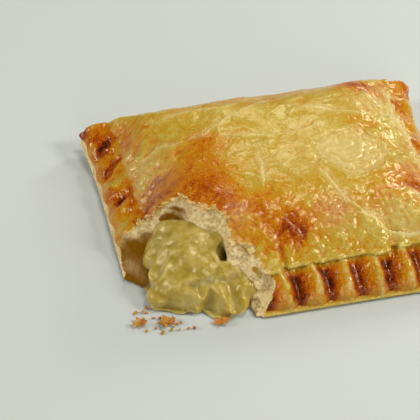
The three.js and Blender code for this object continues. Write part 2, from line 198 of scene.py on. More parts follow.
def lid_relief(x, y):
    """Swells, blisters, wrinkles and the leaf edges of the lid, above its plain dome."""
    height = sum(h * np.exp(-((x - a) ** 2 + (y - b) ** 2) / r**2) for a, b, r, h in SWELLS)
    height = height + 0.5 * layered(x, y, 0, 15, 31, 2)
    # The leaves puff into soft blisters, with shallow creases between them.
    bent_x, bent_y = x + 1.8 * noise(x, y, 0, 6, 37), y + 1.8 * noise(x, y, 0, 6, 40)
    creased = smooth(-0.5, 0.6, noise(x, y, 0, 17, 36))
    height = height + (0.1 + 0.3 * creased) * np.abs(noise(bent_x, bent_y, 0, 5.5, 33))
    height = height - 0.08 * np.abs(noise(bent_x, bent_y, 0, 2.3, 34))
    # Fine wrinkles lie all over the glaze, in short runs.
    along, across = 0.97 * bent_x + 0.26 * bent_y, -0.26 * bent_x + 0.97 * bent_y
    ridges = 1 - 2 * np.abs(noise(along * 0.97, across * 2.6, 0, 8, 150))
    height = height + 0.22 * ridges * smooth(-0.5, 0.5, noise(x, y, 0, 13, 39))
    # Long wrinkles run up to the right on the right half.
    along, across = 0.93 * bent_x + 0.37 * bent_y, -0.37 * bent_x + 0.93 * bent_y
    ridges = 1 - np.abs(noise(along, across * 3.2, 0, 13, 55)) * 2
    height = height + 0.9 * ridges * np.exp(-(((x - 46) / 18) ** 2) - ((y + 19) / 12) ** 2)
    # Crumpled glazed skin in small facets.
    crumple = np.abs(noise(x, y, 0, 2.1, 45)) + 0.5 * np.abs(noise(x, y, 0, 1.3, 46))
    share = sum(blot(x, y, *patch) for patch in CRUMPLED)
    height = height - 0.9 * crumple * np.clip(share, 0, 1)
    # Edges where the top leaf ends, which drop a little to the leaf below.
    for level, seed, drop in ((0.2, 51, 0.22), (-0.1, 57, 0.2)):
        line = layered(x, y, 0, 22, seed, 4) - level
        height = height - drop * smooth(0, 0.04, line)
    # The dull flaky patch, from which the top leaf has come away, in whorls.
    swirl, whorls = whorls_at(x, y)
    height = height - 0.5 * smooth(1.06, 0.98, swirl) + 0.3 * np.exp(-(((swirl - 1.03) / 0.05) ** 2))
    return height - 0.32 * whorls * smooth(1.3, 0.7, swirl)


# Edges of the top leaf where it has split and curled up: its run, how far in it curls and how high. The
# curled side is to the left of the run.
LEAF_EDGES = [
    ([(26, -34), (20, -29), (15, -22), (13, -13)], 5, 0.8),
    ([(58, -43), (44, -42), (33, -39), (26, -34)], 4, 1.0),
    ([(60, -12), (58, 2), (59, 12), (58, 24), (57, 34), (58, 44)], 4, 1.1),
    ([(1, 38), (-8, 32), (-18, 27), (-28, 22), (-38, 21), (-47, 25), (-56, 22)], 6, 0.45),
    ([(-4, 41), (-16, 36), (-30, 40), (-44, 38)], 5, 0.4),
    ([(-12, -18), (-9, -6), (-9, 5)], 3, 0.35),
    ([(20, 17), (0, 13), (-20, 18)], 5, 0.35),
    ([(46, 22), (30, 24), (14, 30)], 5, 0.5),
    ([(52, -28), (44, -24), (36, -25)], 3, 0.6),
]


def from_edge(x, y, run):
    """How far a point lies from a leaf edge's run, and whether it is on the curled side and beside the run."""
    x, y = x + 0.9 * noise(x, y, 0, 4, 71) + 0.35 * noise(x, y, 0, 1.5, 73), y + 0.9 * noise(x, y, 0, 4, 72)
    nearest, curled = np.full(np.shape(x), 1e9), np.zeros(np.shape(x), bool)
    for (ax, ay), (bx, by) in zip(run, run[1:]):
        t = ((x - ax) * (bx - ax) + (y - ay) * (by - ay)) / ((bx - ax) ** 2 + (by - ay) ** 2)
        t = np.clip(t, 0, 1)
        away = np.hypot(x - ax - t * (bx - ax), y - ay - t * (by - ay))
        side = (bx - ax) * (y - ay) - (by - ay) * (x - ax) > 0
        curled = np.where(away < nearest, side, curled)
        nearest = np.minimum(nearest, away)
    return nearest, curled


def curled_leaves(x, y):
    """How far the curled edges of the leaves stand up."""
    height = 0.0
    for run, reach, lift in LEAF_EDGES:
        away, curled = from_edge(x, y, run)
        from_ends = [np.hypot(x - end_x, y - end_y) for end_x, end_y in (run[0], run[-1])]
        ends = smooth(0, 4, np.minimum(*from_ends))
        groove = -0.3 * lift * np.exp(-((away / 0.7) ** 2))
        height = height + np.where(curled, lift * ends * np.exp(-away / reach), groove)
    return height


# Dark glossy pits in the left crimp: where, how long, how wide and which way they run.
PITS = [
    (-64, 44, 5.5, 2.4, 35), (-61.5, 33.5, 4, 1.8, 35), (-65.5, 30.5, 3.5, 1.7, 40), (-64, 11, 3, 1.6, 35),
    (-71, 56.5, 4, 2, 60),
]  # fmt: skip


def pit_share(x, y):
    return np.clip(sum(blot(x, y, *pit) for pit in PITS), 0, 1)


def crust_heights(x, y):
    """The body's top, the top leaf's top and how far inside the lip a point is."""
    inside, lip = inside_crimp(x, y), lip_line(x, y)
    left = smooth(-48, -56, x)
    reach = np.clip(inside / lip, 0, 1)
    press = FLUTE_DEPTH * (1.15 + 0.3 * noise(np.floor(flute_turn(x, y) + 0.6) * 7.3, 0, 0, 1, 79))
    press = press * (1 - 0.7 * left - 0.6 * smooth(48, 58, x))
    flutes = press * (flute_wave(x, y) - 0.4) * np.sin(np.pi * (0.16 + 0.74 * reach))
    rim = CRIMP_EDGE + 2 * left
    crimp = rim + (CRIMP_TOP - rim) * reach**0.85 + flutes
    crimp = crimp - 2.6 * (1 - np.clip(inside / 4, 0, 1)) ** 2
    crimp = crimp + 0.3 * layered(x, y, 0, 3, 81) - 0.45 * np.abs(noise(x * 1.6, y * 0.5, 0, 1.8, 83))
    crimp = crimp - 1.3 * pit_share(x, y)
    past = inside - lip
    dome = 1 - (1 - np.clip(past / 38, 0, 1)) ** 2.3
    lid = CRIMP_TOP + LIP_STEP + (CROWN - CRIMP_TOP - LIP_STEP) * dome + 0.5 * np.minimum(past, 0)
    lid = lid - left * 1.5 * smooth(7, 0, past) + left * 0.45 * flutes * smooth(9, 0, past)
    body = crimp + (lid - 0.4 - crimp) * smooth(0.3 - 2 * left, 1.3 + left, past)
    back = np.clip((half_width(x) - y) / 46, 0, 1)
    folded = 3.5 + (CROWN - 3.5) * (1 - (1 - back) ** 3) ** 0.48
    relief = (lid_relief(x, y) + curled_leaves(x, y)) * smooth(0, 4, np.minimum(past + 2.5, half_width(x) - y))
    raised = ear_lift(x, y) + 0.6
    return soft_min(body, folded, 2.5) + raised + relief, soft_min(lid, folded, 2.5) + raised + relief, past


def tear_reach(place, depth, leaf):
    """How far out the crust reaches at a place along the tear, at a share of its height down from the lid."""
    top = np.interp(place, *zip(*TEAR_TOP))
    base = np.interp(place, *zip(*TEAR_BASE))
    middle = np.interp(depth, (0, 0.1, 0.22, 0.7, 0.8), (0, 0.06, 0.14, 0.2, 1))
    right = np.interp(depth, (0, 0.06, 0.3, 0.7, 0.85), (0, 0.3, 0.55, 0.8, 1))
    left = np.interp(depth, (0, 0.14, 0.24, 0.4, 0.6, 0.8), (0, 0.12, 0.2, 0.34, 0.62, 1))
    at_crimp = np.interp(depth, (0, 0.13, 0.19, 0.25, 0.9), (0.3, 0.3, 0, 0, 1))
    share_right, share_left, share_crimp = smooth(2, 9, place), smooth(-18, -26, place), smooth(18, 21, place)
    profile = middle * (1 - share_right - share_left) + right * (share_right - share_crimp) + left * share_left
    profile = profile + at_crimp * share_crimp
    crags = 1.3 * noise(place, leaf * 17.3, 0, 5, 91) + 0.9 * noise(place, leaf * 9.1, 0, 2.2, 92)
    ragged = 0.3 + 0.5 * share_right - 0.26 * share_left
    crags = crags + 0.9 * noise(place, leaf * 9.1, 0, 1.1, 93) * smooth(0.14, 0.04, depth)
    return top + (base - top) * profile + crags * np.maximum(ragged, smooth(0.12, 0.02, depth) * 0.7)


def grid_line(*stops):
    """Points along one axis through pairs of a place and the step that follows it."""
    runs = [np.arange(a, b - step / 2, step) for (a, step), (b, _) in zip(stops, stops[1:])]
    return np.concatenate([*runs, [stops[-1][0]]])


def skin_of(field, lines):
    """The closed skin of the grid's cells where the field crosses zero: its points and its quads."""
    full = field > 0
    shape = np.array(field.shape)
    corners = sum(
        full[a : shape[0] - 1 + a, b : shape[1] - 1 + b, c : shape[2] - 1 + c].astype(np.int8)
        for a in (0, 1) for b in (0, 1) for c in (0, 1)
    )  # fmt: skip
    cells = np.argwhere((corners > 0) & (corners < 8))
    number = np.full(shape, -1, np.int64)
    number[tuple(cells.T)] = np.arange(len(cells))
    total, count = np.zeros((len(cells), 3)), np.zeros(len(cells))
    quads = []
    for axis in range(3):
        unit = np.eye(3, dtype=int)[axis]
        others = [k for k in range(3) if k != axis]
        for a in (0, 1):
            for b in (0, 1):
                start = np.zeros(3, int)
                start[others] = a, b
                first = field[tuple((cells + start).T)]
                second = field[tuple((cells + start + unit).T)]
                crosses = (first > 0) != (second > 0)
                share = first[crosses] / (first[crosses] - second[crosses])
                total[crosses] += start + share[:, None] * unit
                count[crosses] += 1
        here, there = np.roll(full, 0, axis), np.roll(full, -1, axis)
        edges = np.argwhere(here != there)
        edges = edges[(edges[:, axis] < shape[axis] - 1) & (edges[:, others] > 0).all(1)]
        outward = here[tuple(edges.T)]
        u, v = np.eye(3, dtype=int)[others[0]], np.eye(3, dtype=int)[others[1]]
        ring = [number[tuple((edges - s).T)] for s in (u * 0, u, u + v, v)]
        ring = np.stack(ring, 1)
        flip = outward if axis != 1 else ~outward
        ring[~flip] = ring[~flip][:, ::-1]
        quads.append(ring)
    quads = np.concatenate(quads)
    shares = total / count[:, None]
    spots = (cells + shares).T
    points = np.stack([np.interp(spot, np.arange(len(line)), line) for spot, line in zip(spots, lines)], 1)
    return points, quads[(quads >= 0).all(1)], cells, shares


def mesh_object(name, points, faces, values=()):
    """A smooth-shaded object from points in millimetres, with named values on its points."""
    used, index = np.unique(faces, return_inverse=True)
    index = index.reshape(faces.shape)
    mesh = bpy.data.meshes.new(name)
    mesh.vertices.add(len(used))
    mesh.vertices.foreach_set("co", (points[used] / 1000).astype(np.float32).ravel())
    mesh.loops.add(index.size)
    mesh.loops.foreach_set("vertex_index", index.astype(np.int32).ravel())
    mesh.polygons.add(len(index))
    mesh.polygons.foreach_set("loop_start", np.arange(0, index.size, index.shape[1], dtype=np.int32))
    mesh.update(calc_edges=True)
    mesh.validate()
    for key, value in dict(values).items():
        layer = mesh.attributes.new(key, "FLOAT", "POINT")
        layer.data.foreach_set("value", np.asarray(value, np.float32)[used])
    mesh.shade_smooth()
    made = bpy.data.objects.new(name, mesh)
    bpy.context.collection.objects.link(made)
    return made


xs = grid_line((-LENGTH / 2 - MARGIN, FINE), (FINE_TO_X, COARSE), (LENGTH / 2 + MARGIN, 0))
ys = grid_line((-WIDTH / 2 - MARGIN, FINE), (FINE_TO_Y, COARSE), (WIDTH / 2 + MARGIN, 0))
zs = grid_line((-MARGIN, RISE), (CROWN + 4, 0))
flat_x, flat_y = np.meshgrid(xs, ys, indexing="ij")
body_top, leaf_top, past_lip = crust_heights(flat_x, flat_y)
edge = np.minimum(half_length(flat_y) - np.abs(flat_x), half_width(flat_x) - np.abs(flat_y))
foot = (0.9 + 0.8 * ear_lift(flat_x, flat_y)) * np.clip(1 - edge / 6, 0, 1)

X, Y, Z = flat_x[..., None], flat_y[..., None], zs[None, None, :]
# The base sheet runs to the parcel's outline, and the pressed rim above it stands back, most in the valleys.
set_back = np.clip(0.3 + 2.1 * (1 - flute_wave(flat_x, flat_y)), 0, 2.4)
set_back = set_back * (1 - 0.6 * smooth(-58, -66, flat_x))
set_back = set_back * smooth(-1, 2, half_width(flat_x) - flat_y - edge)
set_back = set_back[..., None] * smooth(0.9, 1.5, Z - foot[..., None])
# The body, with the top leaf over it, which ends in a lip above the crimps.
solid = np.minimum(body_top[..., None] - Z, edge[..., None] - set_back)
# Wrinkles run along the fold at the back.
slab = ys > WIDTH / 2 - FOLD_DEPTH
wrinkles = 0.9 * np.abs(noise(X[:, slab] * 0.3, Y[:, slab] * 0.3, Z, 2.6, 161))
wrinkles = wrinkles + 0.5 * np.abs(noise(X[:, slab], Y[:, slab], Z, 5, 162))
wrinkles = wrinkles * smooth(2, 5, Z) * smooth(26, 20, Z)
solid[:, slab] = np.minimum(solid[:, slab], edge[:, slab, None] - wrinkles)
leaf = np.minimum(leaf_top[..., None] - Z, Z - leaf_top[..., None] + TOP_LEAF)
leaf = np.minimum(leaf, np.minimum(past_lip + LIP_OVERHANG * smooth(-58, -48, flat_x), edge)[..., None])
crust = np.minimum(np.maximum(solid, leaf), Z - foot[..., None])
outer = crust.copy()

# The corner is torn off across the parcel, each leaf on a ragged line of its own.
place, out = (X - Y) / math.sqrt(2), -(X + Y) / math.sqrt(2)
near = (out[..., 0] > 20) & (flat_x < 25) & (flat_y < 25)
box = np.argwhere(near)
block = tuple(slice(a, b + 1) for a, b in zip(box.min(0), box.max(0)))
top_here = leaf_top[block][..., None]
place, out = np.broadcast_arrays(place[block] + 0 * Z, out[block] + 0 * Z)
below_top = top_here - Z
depth = np.clip(below_top / np.maximum(top_here, 1), 0, 1)
leaf_number = np.floor(below_top / LEAF_THICKNESS + 0.5 * noise(X[block], Y[block], 0, 9, 95))
tear = tear_reach(place, depth, leaf_number) - out
crumbly = 1 + 1.2 * smooth(2, 9, place)
tear = tear + crumbly * (0.2 * noise(X[block], Y[block], Z, 1.2, 97) + 0.4 * noise(X[block], Y[block], Z, 2.8, 98))
# The hollow behind the tear, where the filling sits.
rim = np.minimum(half_length(Y[block]) - np.abs(X[block]), half_width(X[block]) - np.abs(Y[block]))
left_end = smooth(-14, -26, place)
rim = rim - WALL_THICKNESS + 7 * left_end
roof = top_here - LID_THICKNESS - 5 * np.clip(1 - rim / 8, 0, 1) ** 2
hollow = np.minimum(np.minimum(roof - Z, Z - FLOOR_THICKNESS), np.minimum(rim, out - HOLLOW_START))
hollow = hollow + 0.5 * noise(X[block], Y[block], Z, 3.5, 99)
crust[block] = np.minimum(crust[block], np.minimum(tear, -hollow))

points, quads, cells, cell_shares = skin_of(crust, (xs, ys, zs))


def at_points(grid, fill=0.0):
    """A grid's values at the skin's points, where the grid covers the tear's block or the whole plan."""
    start = (0, 0, 0) if grid.shape[:2] == flat_x.shape else (block[0].start, block[1].start, 0)
    low = (cells - start)[:, : grid.ndim]
    held = ((low >= 0) & (low < np.array(grid.shape) - 1)).all(1)
    low, share = low[held], cell_shares[held, : grid.ndim]
    found = np.full(len(cells), fill)
    found[held] = 0
    for corner in range(2**grid.ndim):
        step = np.array([corner >> k & 1 for k in range(grid.ndim)])
        found[held] += np.prod(np.where(step, share, 1 - share), 1) * grid[tuple((low + step).T)]
    return found


skin_gap = at_points(outer)
torn = smooth(0.35, -0.35, np.minimum(at_points(tear, 9.0), at_points(-hollow, 9.0)) - skin_gap)
in_hollow = smooth(0.3, -0.3, at_points(-hollow, 9.0) - np.minimum(at_points(tear, 9.0), skin_gap))
px, py, pz = points.T
lid_depth = np.maximum(0, at_points(leaf_top) - pz)
near_lip = at_points(past_lip) + LIP_OVERHANG


# How far each place on the skin is baked, with some painted highlight and painted shade added in: 0 pale dough,
# 0.35 straw, 0.6 golden orange, 1 near black. Patches that the oven browned or left pale, where the pale band at
# the back middle is partly a painted sheen: where, how large, which way they run and by how much.
bake_and_painted_light = 0.38 + 0.07 * layered(px, py, 0, 9, 111, 2)
bake_and_painted_light = bake_and_painted_light + 0.03 * noise(px, py, 0, 2, 115) + 0.03 * noise(px, py, 0, 1.1, 116)
BLOTS = [
    (-34, 0, 13, 24, 0, 0.24), (-32, -16, 7, 9, 0, 0.14), (-28, 18, 9, 7, 0, 0.14), (-50, 4, 8, 4, 10, 0.08),
    (-52, 6.5, 6.5, 2.2, 12, 0.26), (-57, 40, 9, 13, 0, 0.08), (-56, -3, 12, 6, 15, 0.28), (-6, -36, 12, 7, 0, 0.2),
    (-4, -36, 5, 4, 0, 0.24), (-14, -24, 7, 8, 0, 0.12), (10, -31, 9, 5, 0, 0.12), (34, -27, 7, 3, 20, 0.14),
    (47, -18, 17, 11, 15, 0.24), (52, -12, 12, 9, 0, 0.08), (44, 43, 12, 7, -15, 0.32), (36, 20, 8, 5, 0, 0.12),
    (64, 14, 4, 26, 0, 0.14), (-30, 40, 26, 3, -6, 0.06), (10, 46, 40, 5, 0, 0.12), (-68, 55, 7, 5, 0, 0.25),
    (66, 52, 9, 9, 0, 0.3), (2, 22, 30, 12, 0, -0.1), (28, -3, 17, 14, 0, -0.14), (26, 4, 8, 5, 0, -0.06),
    (-40, 27, 12, 8, 20, -0.12), (54, 22, 5, 10, 20, -0.16), (-3, -3, 14, 14, 0, -0.06), (-50, 19, 8, 6, 0, -0.1),
    (36, 15, 9, 5, 10, 0.08), (-56, 26, 9, 12, 0, 0.12), (-21, -33, 5, 4, 0, -0.06), (34, -39, 12, 3, 0, -0.08),
    (-42, -8, 10, 7, 0, 0.1), (-27, -23, 9, 8, 0, 0.16), (-14, -31, 9, 7, 0, 0.12), (13, -33, 9, 6, 0, 0.14),
    (-10, -40, 12, 4, 0, 0.1), (-48, -4, 9, 5, 0, 0.08),
]  # fmt: skip
for cx, cy, rx, ry, turn, amount in BLOTS:
    bake_and_painted_light = bake_and_painted_light + amount * blot(px, py, cx, cy, rx, ry, turn)
above_foot = pz - at_points(foot)
crimp_share = smooth(0.6, -0.6, at_points(past_lip) + 0.8) * smooth(0.9, 1.6, above_foot)
crimp_share = crimp_share * (1 - smooth(1.9, 1.3, lid_depth) * smooth(-0.6, 0, near_lip) * smooth(-58, -50, px))
turn = flute_turn(px, py) % 1
lip_near = smooth(-3.4, -1.2, at_points(past_lip) + 0.6 * noise(px, py, 0, 2, 123))
# Across each flute the colour darkens into the valley behind the crest: partly glaze browned there, partly painted
# shade.
flute_places = (0, 0.07, 0.13, 0.2, 0.3, 0.44, 0.52, 0.6, 0.72, 0.88, 1)
flute_bake_and_painted_light = np.interp(turn, flute_places, (0.44, 0.52, 0.72, 0.86, 0.92, 0.92, 0.84, 0.72, 0.62, 0.52, 0.44))
# Pale flecks along the crests: partly glaze blistered off, partly a painted highlight.
crest_flecks_and_highlight = np.exp(-(((np.where(turn > 0.6, turn - 1, turn) - 0.03) / 0.08) ** 2))
flute_bake_and_painted_light = flute_bake_and_painted_light - 0.3 * crest_flecks_and_highlight * smooth(-0.1, 0.45, noise(px, py, pz * 0.7, 1.25, 128))
left_crimp = smooth(-50, -58, px)
pitted = 0.54 + 0.42 * pit_share(px, py) + 0.16 * noise(px, py, 0, 5, 124) + 0.1 * noise(px, py, 0, 2.2, 126)
flute_bake_and_painted_light = flute_bake_and_painted_light + (pitted - flute_bake_and_painted_light) * left_crimp
right_crimp = 0.55 + 0.12 * noise(px, py, 0, 6, 129) + 0.08 * noise(px, py, 0, 2.2, 130)
flute_bake_and_painted_light = flute_bake_and_painted_light + (right_crimp - flute_bake_and_painted_light) * smooth(50, 58, px)
flute_bake_and_painted_light = flute_bake_and_painted_light + 0.06 * noise(px, py, pz, 1.6, 121) + 0.08 * noise(px, py, 0, 6, 122)
flute_bake_and_painted_light = flute_bake_and_painted_light + (0.4 - flute_bake_and_painted_light) * 0.7 * lip_near * smooth(-52, -42, px)
edge_near = smooth(2.6, 1.0, at_points(edge)) * smooth(7, 3, above_foot) * smooth(50, 44, py)
flute_bake_and_painted_light = flute_bake_and_painted_light + (0.5 - flute_bake_and_painted_light) * 0.7 * edge_near
bake_and_painted_light = bake_and_painted_light + (flute_bake_and_painted_light - bake_and_painted_light) * crimp_share
# Pale specks where the top leaf has flaked off the dull patch and along its own split edges. Along the split edges,
# on the crumpled patches and on the crests the pale specks are also painted highlight glints.
swirl, whorls = whorls_at(px, py)
flaked_and_painted_glints = smooth(1.15, 0.85, swirl) * (1 - 0.4 * whorls)
for run, _, lift in LEAF_EDGES:
    away, curled = from_edge(px, py, run)
    in_runs = smooth(-0.6, 0.4, noise(px, py, 0, 5, 165))
    flaked_and_painted_glints = np.maximum(flaked_and_painted_glints, (0.5 + 0.6 * lift) * np.exp(-((away / 1.9) ** 2)) * in_runs)
    # The curled side is paler, and the groove on its other side is darkened as painted shade.
    pale_edge_and_groove_shade = np.where(curled, np.exp(-((away / 1.0) ** 2)), -0.2 * np.exp(-((away / 0.5) ** 2)))
    bake_and_painted_light = bake_and_painted_light - (0.08 + 0.16 * lift) * pale_edge_and_groove_shade
on_lid = 1 - crimp_share
lip_share = smooth(1.9, 0.3, near_lip + 0.5 * noise(px, py, 0, 2, 125))
bake_and_painted_light = bake_and_painted_light + (0.24 - bake_and_painted_light) * 0.75 * lip_share * on_lid * smooth(-52, -42, px)
# Painted highlight glints: pale specks on the crumpled patches, and on the crests of the front crimp.
flaked_and_painted_glints = flaked_and_painted_glints + sum(0.5 * blot(px, py, *patch) for patch in CRUMPLED)
crest_highlight_flecks = 0.8 * crest_flecks_and_highlight * crimp_share * (1 - left_crimp) * smooth(-0.4, 0.3, noise(px, py, pz * 0.7, 1.5, 128))
flaked_and_painted_glints = np.clip(np.clip(flaked_and_painted_glints, 0, 1) * on_lid + crest_highlight_flecks, 0, 1) * (1 - torn)
# Painted highlight and painted shade: the lid's ridges are painted paler and its creases darker.
smoothed = leaf_top.copy()
for step in range(36):
    for axis in (0, 1):
        smoothed = (np.roll(smoothed, 1, axis) + np.roll(smoothed, -1, axis) + 2 * smoothed) / 4
    if step == 4:
        fine_ridge_light_and_shade = at_points(leaf_top - smoothed)
broad_ridge_light_and_shade = at_points(leaf_top - smoothed)
bake_and_painted_light = bake_and_painted_light - on_lid * (0.28 * np.clip(fine_ridge_light_and_shade, -0.16, 0.2) + 0.18 * np.clip(broad_ridge_light_and_shade, -0.3, 0.4))
low_back = smooth(7, 1, half_width(px) - py) * smooth(20, 8, pz + 3 * noise(px * 0.5, 0, pz, 7, 163))
bake_and_painted_light = bake_and_painted_light + (0.1 + 0.16 * noise(px * 0.5, 0, pz, 4, 164)) * low_back * on_lid
bake_and_painted_light = bake_and_painted_light + (0.3 - bake_and_painted_light) * smooth(1.7, 1.0, above_foot)
end_face = smooth(-58, -66, px) * smooth(3.2, 2.0, at_points(edge)) * smooth(0.0, 1.2, at_points(body_top) - pz)
bake_and_painted_light = bake_and_painted_light + (0.04 + 0.14 * noise(px, py * 0.3, pz, 1.3, 127) - bake_and_painted_light) * end_face
# Torn leaves are pale dough inside and toasted only near the skin. Where the filling lay and inside the hollow,
# they
# are dark olive brown: partly soaked dough, partly painted shade under the lid.
inner_bake = 0.08 + 0.26 * smooth(1.3, 0.2, lid_depth) + 0.08 * noise(px, py, pz, 2.4, 131)
inner_bake = inner_bake + 0.16 * noise(px * 0.25, py * 0.25, pz, 0.9, 132) + 0.1 * noise(px, py, pz, 1.1, 134)
skin_place = (px - py) / math.sqrt(2)
streaks = noise(px * 0.25, py * 0.25, pz, 1.5, 133)
soaked_and_shaded = torn * smooth(-15, -24, skin_place) * smooth(1.2, 3.8, lid_depth + 1.5 * streaks) * (0.9 + 0.25 * streaks)
soaked_and_shaded = np.clip(soaked_and_shaded + in_hollow, 0, 1)
bake_and_painted_light = np.clip(bake_and_painted_light + (inner_bake - bake_and_painted_light) * torn, 0, 1)

# The crust is one skin, in four pieces of a size that a file can hold.
middles = points[quads].mean(1)
underside = middles[:, 2] - at_points(foot)[quads].mean(1) < 0.6
at_back = ~underside & (middles[:, 1] >= FINE_TO_Y)
torn_corner = ~underside & (middles[:, 0] < FINE_TO_X) & ~at_back
dough = np.maximum(torn, 0.8 * end_face)
crust_values = {"bake_and_painted_light": bake_and_painted_light, "dough": dough, "flaked_and_painted_glints": flaked_and_painted_glints, "soaked_and_shaded": soaked_and_shaded, "pressed": crimp_share}
crust_lid = mesh_object("crust_lid", points, quads[~underside & ~at_back & ~torn_corner], crust_values)
crust_back = mesh_object("crust_back", points, quads[at_back], crust_values)
crust_corner = mesh_object("crust_torn_corner", points, quads[torn_corner], crust_values)
crust_base = mesh_object("crust_base", points, quads[underside], crust_values)


def colour(code):
    """An sRGB hex code as the linear colour that a shader reads."""
    parts = [int(code[i : i + 2], 16) / 255 for i in (1, 3, 5)]
    return [*(c / 12.92 if c <= 0.04045 else ((c + 0.055) / 1.055) ** 2.4 for c in parts), 1]


def add(tree, kind, inputs=(), stops=(), **settings):
    """Adds a node, and feeds its inputs with values or with other nodes, whose first output is meant."""
    made = tree.nodes.new(kind)
    for key, value in settings.items():
        setattr(made, key, value)
    for key, value in inputs.items() if isinstance(inputs, dict) else enumerate(inputs):
        if isinstance(value, bpy.types.Node):
            value = value.outputs[0]
        if isinstance(value, bpy.types.NodeSocket):
            tree.links.new(value, made.inputs[key])
        else:
            made.inputs[key].default_value = value
    for _ in stops[2:]:
        made.color_ramp.elements.new(0.5)
    for element, (spot, shade) in zip(made.color_ramp.elements if stops else (), stops):
        element.position = spot
        element.color = colour(shade) if isinstance(shade, str) else (shade, shade, shade, 1)
    return made


# Baked egg-glazed puff pastry: the glaze gives a broken gloss over a skin of fine blisters, and the colour
# runs from straw through orange to scorched brown. Torn dough is pale, matt and full of small holes.
pastry = bpy.data.materials.new("baked_egg_glazed_puff_pastry")
pastry.use_nodes = True
tree = pastry.node_tree
tree.nodes.clear()
MATHS, NOISE, CELLS, RAMP, MIX = (
    "ShaderNodeMath", "ShaderNodeTexNoise", "ShaderNodeTexVoronoi", "ShaderNodeValToRGB", "ShaderNodeMix",
)  # fmt: skip
spot = add(tree, "ShaderNodeTexCoord").outputs["Object"]
baked_and_painted_light, dough, pressed, soaked_and_shaded, flaked_and_painted_glints = (
    add(tree, "ShaderNodeAttribute", attribute_name=name).outputs["Fac"]
    for name in ("bake_and_painted_light", "dough", "pressed", "soaked_and_shaded", "flaked_and_painted_glints")
)
# Blotches of 5 mm, blisters of 1.2 mm and specks of 0.6 mm shift the tone.
blotches = add(tree, NOISE, {"Vector": spot, "Scale": 200, "Detail": 3, "Roughness": 0.6})
blisters = add(tree, NOISE, {"Vector": spot, "Scale": 830, "Detail": 3, "Roughness": 0.6})
specks = add(tree, NOISE, {"Vector": spot, "Scale": 1700, "Detail": 2, "Roughness": 0.7})
tone = baked_and_painted_light
for pattern, strength in ((blotches, 0.2), (blisters, 0.3), (specks, 0.8)):
    shift = add(tree, MATHS, [pattern, 0.5], operation="SUBTRACT")
    tone = add(tree, MATHS, [shift, strength, tone], operation="MULTIPLY_ADD", use_clamp=pattern == specks)
BAKED = [
    (0.0, "#e0d09a"), (0.16, "#cab666"), (0.33, "#b69e3a"), (0.48, "#c08c12"), (0.62, "#bc6c00"),
    (0.76, "#a04600"), (0.88, "#7c2a00"), (1.0, "#3a1000"),
]  # fmt: skip
skin_colour = add(tree, RAMP, [tone], BAKED)
# Fine cracks in the glaze, 3 mm apart, show the pale leaf under it, but not where it is pressed or browned.
warp = add(tree, "ShaderNodeVectorMath", [blotches.outputs["Color"], (0.006,) * 3, spot], operation="MULTIPLY_ADD")
cracks = add(tree, CELLS, {"Vector": warp, "Scale": 300, "Randomness": 1}, feature="DISTANCE_TO_EDGE")
crack = add(tree, RAMP, [cracks], [(0.0, 1.0), (0.07, 0.0)])
for fade in (
    add(tree, MATHS, [1.0, pressed], operation="SUBTRACT"),
    add(tree, RAMP, [blotches], [(0.42, 0.0), (0.62, 0.2)]),
    add(tree, RAMP, [tone], [(0.5, 1.0), (0.68, 0.0)]),
):
    crack = add(tree, MATHS, [crack, fade], operation="MULTIPLY")
# Where the glazed leaf has flaked off, the pale one shows in specks; on the crests, the crumpled patches and the
# split edges the same pale specks are painted highlight glints.
flake_and_glint_specks = add(tree, MATHS, [specks, 5.0, -2.0], operation="MULTIPLY_ADD", use_clamp=True)
flake_and_glint_specks = add(tree, MATHS, [flaked_and_painted_glints, flake_and_glint_specks], operation="MULTIPLY")
bared_and_glint_specks = add(tree, MATHS, [crack, flake_and_glint_specks], operation="MAXIMUM")
pale = add(tree, MIX, {0: bared_and_glint_specks, 6: skin_colour, 7: colour("#dccdaa")}, data_type="RGBA").outputs[2]
# The torn dough's crumb, and the dark olive brown of the dough that the filling has soaked, which is partly painted
# shade in the hollow under the lid.
crumb_colour = add(tree, RAMP, [blisters], [(0.34, "#bea27c"), (0.46, "#e4cdac"), (0.62, "#f8ebd4")])
open_dough = add(tree, MATHS, [dough, 0.75], operation="MULTIPLY")
crumb = add(tree, MIX, {0: open_dough, 6: pale, 7: crumb_colour}, data_type="RGBA").outputs[2]
wet_and_shaded = add(tree, MIX, {0: soaked_and_shaded, 6: crumb, 7: colour("#7c5404")}, data_type="RGBA").outputs[2]
# The glaze is broken in blotches, thinner where the leaf has flaked and where pale glints are painted, and absent
# from the dough.
glaze = add(tree, RAMP, [blotches], [(0.35, 0.85), (0.65, 0.3)])
for worn, strength in ((dough, -0.8), (flaked_and_painted_glints, -0.3)):
    glaze = add(tree, MATHS, [worn, strength, glaze], operation="MULTIPLY_ADD", use_clamp=True)
rough = add(tree, RAMP, [blotches], [(0.3, 0.3), (0.7, 0.52)])
rough = add(tree, MATHS, [dough, 0.4, rough], operation="MULTIPLY_ADD", use_clamp=True)
